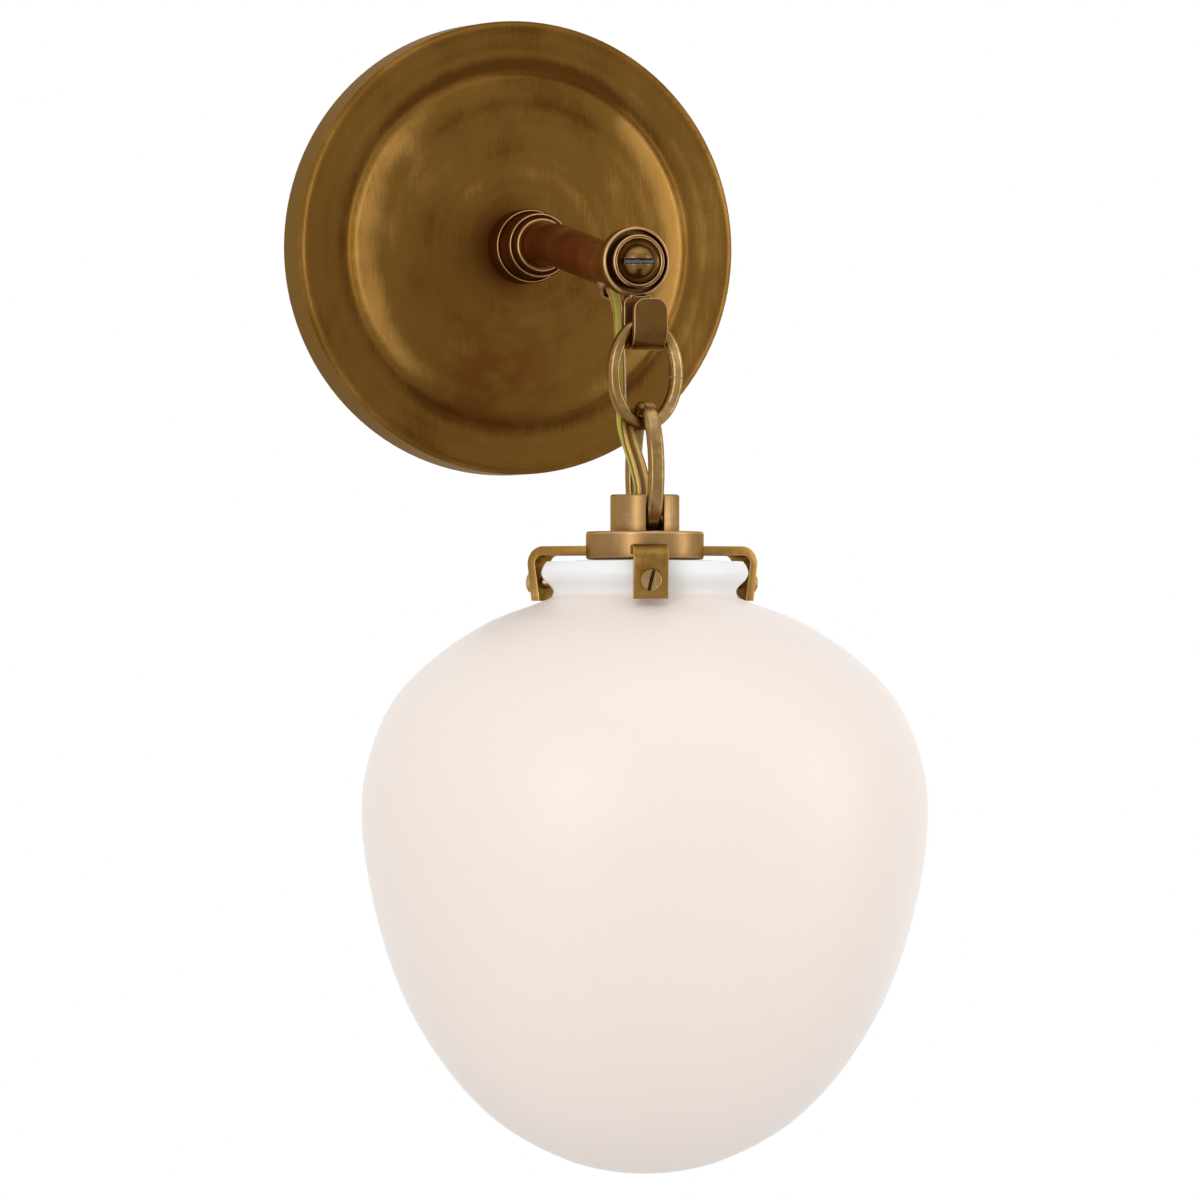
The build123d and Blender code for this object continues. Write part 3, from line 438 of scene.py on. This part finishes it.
def cap_screw_brass(context):
    """The cap screw: brown domed brass, with blued steel deep in its slot and painted shade on the
    slot's walls.
    """
    hues = context.scene.sconce_colours
    finish = brass(context, "cap_screw_finish", hues.strap_brass, grain_axis=0, light=0.1, rough=0.28)
    x, _, height = finish.split(finish.place)
    ragged = (finish.noise(0.0009, 3.0) - 0.5) * 0.0009
    # slot masks the painted shade in the cap screw's slot.
    slot = height.band(CAP_SLOT_HEIGHT, CAP_SLOT_HALF).step(0.05, 0.12)
    blue = (height + ragged).band(CAP_STEEL_HEIGHT, CAP_STEEL_HALF).step(0.15, 0.70)
    cut = finish.mix(blue * abs(x).step(*CAP_STEEL_ENDS), hues.cap_slot_shade, hues.steel)
    finish.set(Base_Color=finish.mix(slot, finish.painted(), cut))
    return finish.material


def clamp_screw_brass(context, place):
    """A clamp screw in its place round the pendant's axis, with painted shade in its leaning slot."""
    hues = context.scene.sconce_colours
    turn = CLAMP_TURNS[place]
    finish = brass(context, "clamp_screw_%s_finish" % place, hues.fitter_brass, light=0.2, rough=0.3)
    x, depth, height = finish.split(finish.place)
    across = x * cos(turn) + (depth + AXIS_DEPTH) * sin(turn)
    leaning = across * cos(CLAMP_SLOT_LEAN) + (height - CLAMP_HEIGHT) * sin(CLAMP_SLOT_LEAN)
    # The slot gets painted shade.
    slot = leaning.band(0.0, CLAMP_SLOT_HALF).step(0.05, 0.14)
    finish.set(Base_Color=finish.mix(slot, finish.painted(), hues.clamp_slot_shade))
    return finish.material


def plain(name, hue, roughness, size=0.003, spread=0.25, metallic=0.0):
    """A quiet finish with slight changes of tone and a fine texture."""
    finish = Finish(name, roughness, metallic)
    cloud = finish.noise(size, 4.0)
    darker = [channel * (1.0 - spread) for channel in hue]
    finish.set(Base_Color=finish.mix(cloud, darker, hue), Roughness=(cloud - 0.5) * 0.15 + roughness)
    finish.bump(cloud, distance=0.00003, strength=0.4)
    return finish.material


def opal_glass(context):
    """Cased opal glass: a cream body under a clear skin, with a whiter lip and painted shade towards
    its foot.
    """
    hues = context.scene.sconce_colours
    sizes = context.scene.sconce_sizes
    finish = Finish("opal_glass_finish", roughness=0.48)
    facing = finish.node("ShaderNodeLayerWeight", sockets={"Blend": 0.5}).outputs["Facing"]
    turned_away = Value(finish, facing)
    height = finish.split(finish.place)[2]
    cloud = finish.noise(0.05, 3.0)
    lip = height.step(sizes.lip_line - 0.0030, sizes.lip_line + 0.0012)
    # Painted shade towards the foot.
    foot = height.step(*GLASS_FOOT)
    shaded = scaled(hues.glass, GLASS_FOOT_SHADE)
    body = finish.mix(foot * 0.3 + (cloud - 0.5) * 0.25, hues.glass, shaded)
    finish.set(Base_Color=finish.mix(lip, body, hues.glass_lip),
               Coat_Weight=turned_away.step(0.55, 0.95) * 0.7 + 0.3, Coat_Roughness=0.42,
               Subsurface_Weight=0.35, Subsurface_Radius=(1.0, 0.8, 0.7), Subsurface_Scale=0.003)
    return finish.material


def clear_cord(context):
    """Clear gold jacket over two stranded copper cores, read from the cord's own map."""
    hues = context.scene.sconce_colours
    finish = Finish("clear_cord_finish", roughness=0.38)
    chart = finish.node("ShaderNodeUVMap", {"uv_map": "run"})
    across, along, _ = finish.split(chart.outputs[0])
    side = abs(across)
    core = side.band(CORE_PLACE, CORE_HALF).step(0.15, 0.5)
    strands = (along * STRAND_PITCH + across * STRAND_SLANT).sine() * 0.5 + 0.5
    copper = finish.mix(strands, scaled(hues.cord_core, (0.72, 0.68, 0.6)), hues.cord_core)
    base = finish.mix(core, hues.cord_web, copper)
    base = finish.mix(side.step(*JACKET_RIM), base, hues.cord_rim)
    finish.set(Base_Color=base, Metallic=core * 0.3, Coat_Weight=0.10,
               Coat_Roughness=0.12, Specular_IOR_Level=0.15)
    return finish.material


# ---- what the operators share ----

def dress(node, material):
    """Give one material to every slot of a CAD piece."""
    piece = frame["nodes"][node]
    if not piece.material_slots:
        piece.data.materials.append(material)
    for place in piece.material_slots:
        place.material = material


def flowing(points, steps):
    """Smooth outline through (radius, height) points, with steps parts between each two."""
    spots = [Vector(point) for point in points]
    spots = [2 * spots[0] - spots[1]] + spots + [2 * spots[-1] - spots[-2]]
    outline = []
    for before, first, second, after in zip(spots, spots[1:], spots[2:], spots[3:]):
        near, middle, far = [(b - a).length ** 0.5 for a, b in
                             ((before, first), (first, second), (second, after))]
        straight = (second - first) / middle
        leave = (first - before) / near - (second - before) / (near + middle) + straight
        reach = straight - (after - first) / (middle + far) + (after - second) / far
        leave = leave * middle
        reach = reach * middle
        for step in range(steps):
            part = step / steps
            outline.append(first * (2 * part ** 3 - 3 * part ** 2 + 1)
                           + leave * (part ** 3 - 2 * part ** 2 + part)
                           + second * (3 * part ** 2 - 2 * part ** 3)
                           + reach * (part ** 3 - part ** 2))
    outline.append(spots[-2])
    return [(spot.x, spot.y) for spot in outline]


def new_piece(name, material):
    """Name the active object and give it its finish."""
    piece = bpy.context.object
    piece.name = name
    piece.data.name = name
    piece.data.materials.clear()
    piece.data.materials.append(material)
    return piece


def body_of(node):
    """Name of the CAD body that holds a node."""
    for body, nodes in frame["record"]["behaviour"]["bodies"].items():
        if node in nodes:
            return body
    raise ValueError("no body holds " + node)


def weigh_corners(mesh, angle):
    """Weight the outward edges sharper than an angle; corners that point inward stay sharp, in the
    piece's own metal.
    """
    shape = bmesh.new()
    shape.from_mesh(mesh)
    weight = shape.edges.layers.float.new("bevel_weight_edge")
    for edge in shape.edges:
        if len(edge.link_faces) == 2 and edge.calc_face_angle_signed() > radians(angle):
            edge[weight] = 1.0
    shape.to_mesh(mesh)
    shape.free()


def eased(node, metal, edge, width, angle=35.0):
    """Copy a CAD piece, join its triangles and round its outward edges, which get paler metal: partly
    rubbed wear, partly a painted highlight.
    """
    source = frame["nodes"][node]
    bpy.ops.object.select_all(action="DESELECT")
    piece = bpy.data.objects.new(node + "_eased", source.data.copy())
    bpy.context.collection.objects.link(piece)
    bpy.context.view_layer.objects.active = piece
    piece.select_set(True)
    if piece.data.has_custom_normals:
        bpy.ops.mesh.customdata_custom_splitnormals_clear()
    bpy.ops.object.mode_set(mode="EDIT")
    bpy.ops.mesh.select_all(action="SELECT")
    bpy.ops.mesh.remove_doubles(threshold=WELD_GAP)
    bpy.ops.mesh.dissolve_limited(angle_limit=FLAT_ANGLE)
    bpy.ops.object.mode_set(mode="OBJECT")
    piece = new_piece(node + "_eased", metal)
    piece.data.materials.append(edge)
    weigh_corners(piece.data, angle)
    bevel = piece.modifiers.new("rubbed_and_highlight_edge", "BEVEL")
    bevel.width = width
    bevel.segments = 3
    bevel.limit_method = "WEIGHT"
    # The rounded edges take the paler brass: a painted highlight as well as wear.
    bevel.material = 1
    bpy.ops.object.modifier_apply(modifier=bevel.name)
    bpy.ops.object.shade_smooth_by_angle(angle=radians(angle))
    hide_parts(node)
    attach(piece, body_of(node))


def turned(outline, sides):
    """Turn an outline of (radius, height) that ends on the vertical axis, ring by ring."""
    bpy.ops.object.select_all(action="DESELECT")
    radius, height = outline[0]
    bpy.ops.mesh.primitive_circle_add(vertices=sides, radius=radius,
                                      location=(0.0, -AXIS_DEPTH, height))
    bpy.ops.object.transform_apply(location=True, rotation=True, scale=True)
    bpy.ops.object.mode_set(mode="EDIT")
    bpy.ops.mesh.select_all(action="SELECT")
    for (radius, height), (next_radius, next_height) in zip(outline, outline[1:-1]):
        bpy.ops.mesh.extrude_edges_move(
            TRANSFORM_OT_translate={"value": (0.0, 0.0, next_height - height)})
        factor = next_radius / radius
        bpy.ops.transform.resize(value=(factor, factor, 1.0),
                                 center_override=(0.0, -AXIS_DEPTH, next_height))
    drop = outline[-1][1] - outline[-2][1]
    bpy.ops.mesh.extrude_edges_move(TRANSFORM_OT_translate={"value": (0.0, 0.0, drop)})
    bpy.ops.mesh.merge(type="CENTER")
    bpy.ops.mesh.select_all(action="SELECT")
    bpy.ops.mesh.normals_make_consistent(inside=False)
    bpy.ops.object.mode_set(mode="OBJECT")
    bpy.ops.object.shade_smooth()


def spline_through(name, points):
    """NURBS curve with the route's points as its control points."""
    data = bpy.data.curves.new(name, "CURVE")
    data.dimensions = "3D"
    spline = data.splines.new("NURBS")
    spline.points.add(len(points) - 1)
    for place, point in zip(spline.points, points):
        place.co = (*point, 1.0)
    spline.order_u = 3
    spline.use_endpoint_u = True
    spline.resolution_u = 24
    return data


def points_along(data):
    """Points of a curve with no bevel, as Blender gives them."""
    carrier = bpy.data.objects.new(data.name + "_carrier", data)
    mesh = bpy.data.meshes.new_from_object(carrier)
    points = [vertex.co.copy() for vertex in mesh.vertices]
    bpy.data.objects.remove(carrier)
    bpy.data.meshes.remove(mesh)
    return points


def twin_section(width, thickness, count=17):
    """Outline of two round cores side by side, with a groove between them."""
    lobe = thickness / 2
    shift = width / 2 - lobe
    reach = acos(-shift / lobe)
    turns = [reach * (2 * index / (count - 1) - 1) for index in range(count)]
    right = [(shift + lobe * cos(turn), lobe * sin(turn)) for turn in turns]
    left = [(-across, through) for across, through in reversed(right[1:-1])]
    return right + left


def twist_at(twists, part):
    """Turn of the flat, in radians, at a part of the whole length."""
    for (low, first), (high, second) in zip(twists, twists[1:]):
        if part <= high:
            share = (part - low) / (high - low)
            share = share * share * (3 - 2 * share)
            return radians(first + (second - first) * share)
    return radians(twists[-1][1])


def running_lengths(path):
    """Distance from the path's start to each of its points."""
    lengths = [0.0]
    for before, here in zip(path, path[1:]):
        lengths.append(lengths[-1] + (here - before).length)
    return lengths


def flat_at(path, index, turn):
    """Directions across and through the cord's flat at a point of its path."""
    before = path[max(index - 1, 0)]
    after = path[min(index + 1, len(path) - 1)]
    along = (after - before).normalized()
    level = Vector((1.0, 0.0, 0.0))
    level = (level - along * level.dot(along)).normalized()
    flat = Matrix.Rotation(turn, 3, along) @ level
    return flat, along.cross(flat)


def tube_faces(rows, ring):
    """Faces of a tube of rows with ring corners each, closed at both ends."""
    faces = []
    for row in range(rows - 1):
        for column in range(ring):
            beside = (column + 1) % ring
            faces.append((row * ring + column, row * ring + beside,
                          (row + 1) * ring + beside, (row + 1) * ring + column))
    last = (rows - 1) * ring
    faces.append(tuple(reversed(range(ring))))
    faces.append(tuple(range(last, last + ring)))
    return faces


def twin_cord(context, name, route, twists, material):
    """Flat two-core cord along a route, with its path; its map runs across and along it."""
    sizes = context.scene.sconce_sizes
    path = points_along(spline_through(name + "_route", route))
    outline = twin_section(sizes.cord_width, sizes.cord_thickness)
    lengths = running_lengths(path)
    vertices = []
    charts = []
    for index, point in enumerate(path):
        flat, normal = flat_at(path, index, twist_at(twists, lengths[index] / lengths[-1]))
        for across, through in outline:
            vertices.append(point + flat * across + normal * through)
            charts.append((across / (sizes.cord_width / 2), lengths[index]))
    mesh = bpy.data.meshes.new(name)
    mesh.from_pydata(vertices, [], tube_faces(len(path), len(outline)))
    chart = mesh.uv_layers.new(name="run")
    for loop in mesh.loops:
        chart.data[loop.index].uv = charts[loop.vertex_index]
    mesh.materials.append(material)
    mesh.shade_smooth()
    piece = bpy.data.objects.new(name, mesh)
    context.collection.objects.link(piece)
    return piece, path


# ---- operators ----

class SCONCE_OT_plate(bpy.types.Operator):
    """Give the wall plate and its stepped collar their brushed antique brass"""
    bl_idname = "sconce.plate"
    bl_label = "Wall Plate"

    def execute(self, context):
        hues = context.scene.sconce_colours
        sizes = context.scene.sconce_sizes
        dress("backplate", plate_brass(context))
        collar = brass(context, "collar_brass_finish", hues.collar_brass, grain_axis=1)
        edge = brass(context, "collar_edge_finish", hues.rubbed_and_highlight_brass, light=-0.08, rough=0.3)
        eased("arm_collar", collar.material, edge.material, sizes.worn_edge, angle=50.0)
        return {"FINISHED"}


class SCONCE_OT_arm(bpy.types.Operator):
    """Give the arm, its cup, the hook and the links their darker brass, and rubbed edges with a
    painted highlight
    """
    bl_idname = "sconce.arm"
    bl_label = "Arm and Links"

    def execute(self, context):
        hues = context.scene.sconce_colours
        sizes = context.scene.sconce_sizes
        tube = brass(context, "tube_brass_finish", hues.tube_brass, grain_axis=1, contrast=1.3,
                     rough=0.36)
        dress("arm_tube", tube.material)
        edge = brass(context, "strap_edge_finish", hues.rubbed_and_highlight_brass, light=-0.15, rough=0.32).material
        strap = brass(context, "strap_brass_finish", hues.strap_brass, contrast=1.2, rough=0.34)
        for node in ("arm_cup", "arm_cap", "hook"):
            eased(node, strap.material, edge, sizes.worn_edge)
        link = brass(context, "link_brass_finish", hues.link_brass, contrast=1.8, rough=0.25)
        for node in ("upper_link", "lower_link"):
            dress(node, link.material)
        return {"FINISHED"}


class SCONCE_OT_fitter(bpy.types.Operator):
    """Give the loop plug, the fitter cap and the claws their lighter brass, and rubbed edges with a
    painted highlight
    """
    bl_idname = "sconce.fitter"
    bl_label = "Fitter"

    def execute(self, context):
        hues = context.scene.sconce_colours
        sizes = context.scene.sconce_sizes
        edge = brass(context, "fitter_edge_finish", hues.rubbed_and_highlight_brass, rough=0.32).material
        metal = brass(context, "fitter_brass_finish", hues.fitter_brass, rough=0.38).material
        claw = brass(context, "claw_brass_finish", hues.claw_brass, contrast=1.2, rough=0.36).material
        for node in ("loop_plug", "fitter_cap"):
            eased(node, metal, edge, sizes.worn_edge)
        for node in ("claw_front", "claw_left", "claw_right"):
            eased(node, claw, edge, sizes.worn_edge)
        for node in ("plug_pin", "outlet_bushing"):
            dress(node, metal)
        return {"FINISHED"}


class SCONCE_OT_screws(bpy.types.Operator):
    """Give the screws and the hidden steel pieces their finishes"""
    bl_idname = "sconce.screws"
    bl_label = "Screws"

    def execute(self, context):
        hues = context.scene.sconce_colours
        sizes = context.scene.sconce_sizes
        edge = bpy.data.materials["fitter_edge_finish"]
        width = sizes.worn_edge * SCREW_EDGE_SHARE
        eased("cap_screw", cap_screw_brass(context), edge, width)
        for place in CLAMP_TURNS:
            eased("clamp_screw_" + place, clamp_screw_brass(context, place), edge, width)
        zinc = plain("zinc_finish", hues.zinc, roughness=0.38, metallic=1.0)
        for node in ("mounting_bar", "lock_washer", "lock_nut", "arm_nipple", "plate_set_screws",
                     "ground_screw", "holder_screws"):
            dress(node, zinc)
        return {"FINISHED"}


class SCONCE_OT_shade(bpy.types.Operator):
    """Turn the opal glass shade, with its ground lip, neck and acorn body"""
    bl_idname = "sconce.shade"
    bl_label = "Shade"

    def execute(self, context):
        sizes = context.scene.sconce_sizes
        turned(flowing(LIP_OUTLINE + BODY_OUTLINE, steps=6), sides=160)
        piece = new_piece("opal_shade", opal_glass(context))
        wall = piece.modifiers.new("wall", "SOLIDIFY")
        wall.thickness = sizes.glass_wall
        wall.offset = -1.0
        wall.use_even_offset = True
        bpy.ops.object.modifier_apply(modifier=wall.name)
        lip = piece.modifiers.new("ground_lip", "BEVEL")
        lip.width = sizes.lip_round
        lip.segments = 3
        lip.limit_method = "ANGLE"
        lip.angle_limit = radians(60.0)
        bpy.ops.object.modifier_apply(modifier=lip.name)
        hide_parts("shade")
        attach(piece, "pendant")
        return {"FINISHED"}


class SCONCE_OT_inside(bpy.types.Operator):
    """Give the lampholder, the lamp and the wiring their finishes"""
    bl_idname = "sconce.inside"
    bl_label = "Lampholder and Lamp"

    def execute(self, context):
        hues = context.scene.sconce_colours
        porcelain = plain("porcelain_finish", hues.porcelain, roughness=0.12, size=0.02, spread=0.08)
        dress("lampholder", porcelain)
        contact = plain("shell_brass_finish", hues.bright_brass, roughness=0.25, metallic=1.0)
        for node in ("screw_shell", "centre_contact", "terminal_screws", "arm_end_plug"):
            dress(node, contact)
        dress("lamp", plain("lamp_finish", hues.lamp, roughness=0.3, size=0.03, spread=0.05))
        lead = plain("lead_finish", hues.lead, roughness=0.35, size=0.001, spread=0.3)
        for node in ("supply_leads", "ground_lead", "holder_leads", "cord_in_arm"):
            dress(node, lead)
        dress("wire_connectors", plain("connector_finish", hues.connector, roughness=0.5))
        return {"FINISHED"}


class SCONCE_OT_cord(bpy.types.Operator):
    """Model the flat two-core cord from the arm's outlet down into the plug"""
    bl_idname = "sconce.cord"
    bl_label = "Cord"

    def execute(self, context):
        jacket = clear_cord(context)
        for name, node, above, below, route, twists in (
                ("cord_from_arm", "cord_upper", "wall_mount", "link_1", UPPER_ROUTE, UPPER_TWISTS),
                ("cord_to_plug", "cord_lower", "link_1", "link_2", LOWER_ROUTE, LOWER_TWISTS)):
            piece, path = twin_cord(context, name, route, twists, jacket)
            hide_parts(node)
            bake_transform(piece)
        dress("cord_in_fitter", jacket)
        return {"FINISHED"}


class SCONCE_OT_stage(bpy.types.Operator):
    """Set up the floor, the soft studio light and the camera"""
    bl_idname = "sconce.stage"
    bl_label = "Stage"

    def execute(self, context):
        bpy.ops.object.select_all(action="DESELECT")
        bpy.ops.mesh.primitive_plane_add(size=FLOOR_SIZE, location=(0.0, 0.0, FLOOR_HEIGHT))
        floor = context.object
        floor.name = "floor"
        hue = context.scene.sconce_colours.floor
        floor.data.materials.append(plain("floor_finish", hue, roughness=0.7, size=0.2, spread=0.03))
        for lamp in LIGHTS:
            self.light(context, *lamp)
        self.world(context)
        self.camera(context)
        return {"FINISHED"}

    def light(self, context, name, place, sides, power):
        """A soft rectangle of light that faces the sconce."""
        data = bpy.data.lights.new(name, "AREA")
        data.shape = "RECTANGLE"
        data.size, data.size_y = sides
        data.energy = power
        lamp = bpy.data.objects.new(name, data)
        aim = Vector(LIGHT_AIM) - Vector(place)
        facing = aim.to_track_quat("-Z", "Y").to_matrix().to_4x4()
        lamp.matrix_world = Matrix.Translation(place) @ facing
        context.collection.objects.link(lamp)

    def world(self, context):
        """White where it is seen, directly or in the glass and metal, and dimmer as a light."""
        world = bpy.data.worlds.new("studio")
        context.scene.world = world
        world.use_nodes = True
        studio = Nodes(world.node_tree)
        path = studio.node("ShaderNodeLightPath")
        seen = [Value(studio, path.outputs["Is %s Ray" % kind])
                for kind in ("Camera", "Glossy", "Transmission")]
        mix = studio.node("ShaderNodeMix", {"data_type": "RGBA"}, {
            0: sum(seen[1:], seen[0]).least(1.0), 6: (WORLD_LEVEL,) * 3, 7: (1.0, 1.0, 1.0)})
        background = world.node_tree.nodes["Background"]
        studio.feed(background.inputs["Color"], mix.outputs[2])
        studio.feed(background.inputs["Strength"], 1.0)
        context.scene.view_settings.view_transform = "Standard"

    def camera(self, context):
        """The camera far back on a long lens, to the left of the sconce's middle."""
        right = Vector((cos(CAMERA_TURN), sin(CAMERA_TURN), 0.0))
        back = Vector((sin(CAMERA_TURN) * cos(CAMERA_RISE), -cos(CAMERA_TURN) * cos(CAMERA_RISE),
                       sin(CAMERA_RISE)))
        above = back.cross(right)
        target = right * CAMERA_AIM[0] + above * CAMERA_AIM[1]
        data = bpy.data.cameras.new("camera")
        data.sensor_width = 36.0
        data.lens = CAMERA_LENS
        data.clip_end = 50.0
        camera = bpy.data.objects.new("camera", data)
        axes = Matrix((right, above, back)).transposed().to_4x4()
        camera.matrix_world = Matrix.Translation(target + back * CAMERA_DISTANCE) @ axes
        context.collection.objects.link(camera)
        context.scene.camera = camera


class SCONCE_PT_panel(bpy.types.Panel):
    """Sizes, colours and pieces of the sconce"""
    bl_label = "Pendant Wall Sconce"
    bl_idname = "SCONCE_PT_panel"
    bl_space_type = "VIEW_3D"
    bl_region_type = "UI"
    bl_category = "Sconce"

    def draw(self, context):
        for group in (context.scene.sconce_sizes, context.scene.sconce_colours):
            box = self.layout.box()
            for name in group.__annotations__:
                box.prop(group, name)
        for operator in OPERATORS:
            self.layout.operator(operator.bl_idname)


OPERATORS = (SCONCE_OT_plate, SCONCE_OT_arm, SCONCE_OT_fitter, SCONCE_OT_screws, SCONCE_OT_shade,
             SCONCE_OT_inside, SCONCE_OT_cord, SCONCE_OT_stage)
CLASSES = (SconceSizes, SconceColours) + OPERATORS + (SCONCE_PT_panel,)


def register():
    for kind in CLASSES:
        bpy.utils.register_class(kind)
    bpy.types.Scene.sconce_sizes = PointerProperty(type=SconceSizes)
    bpy.types.Scene.sconce_colours = PointerProperty(type=SconceColours)


def unregister():
    del bpy.types.Scene.sconce_colours
    del bpy.types.Scene.sconce_sizes
    for kind in reversed(CLASSES):
        bpy.utils.unregister_class(kind)


def main():
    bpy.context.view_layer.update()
    register()
    bpy.ops.sconce.plate()
    bpy.ops.sconce.arm()
    bpy.ops.sconce.fitter()
    bpy.ops.sconce.screws()
    bpy.ops.sconce.shade()
    bpy.ops.sconce.inside()
    bpy.ops.sconce.cord()
    bpy.ops.sconce.stage()


if __name__ == "__main__":
    main()
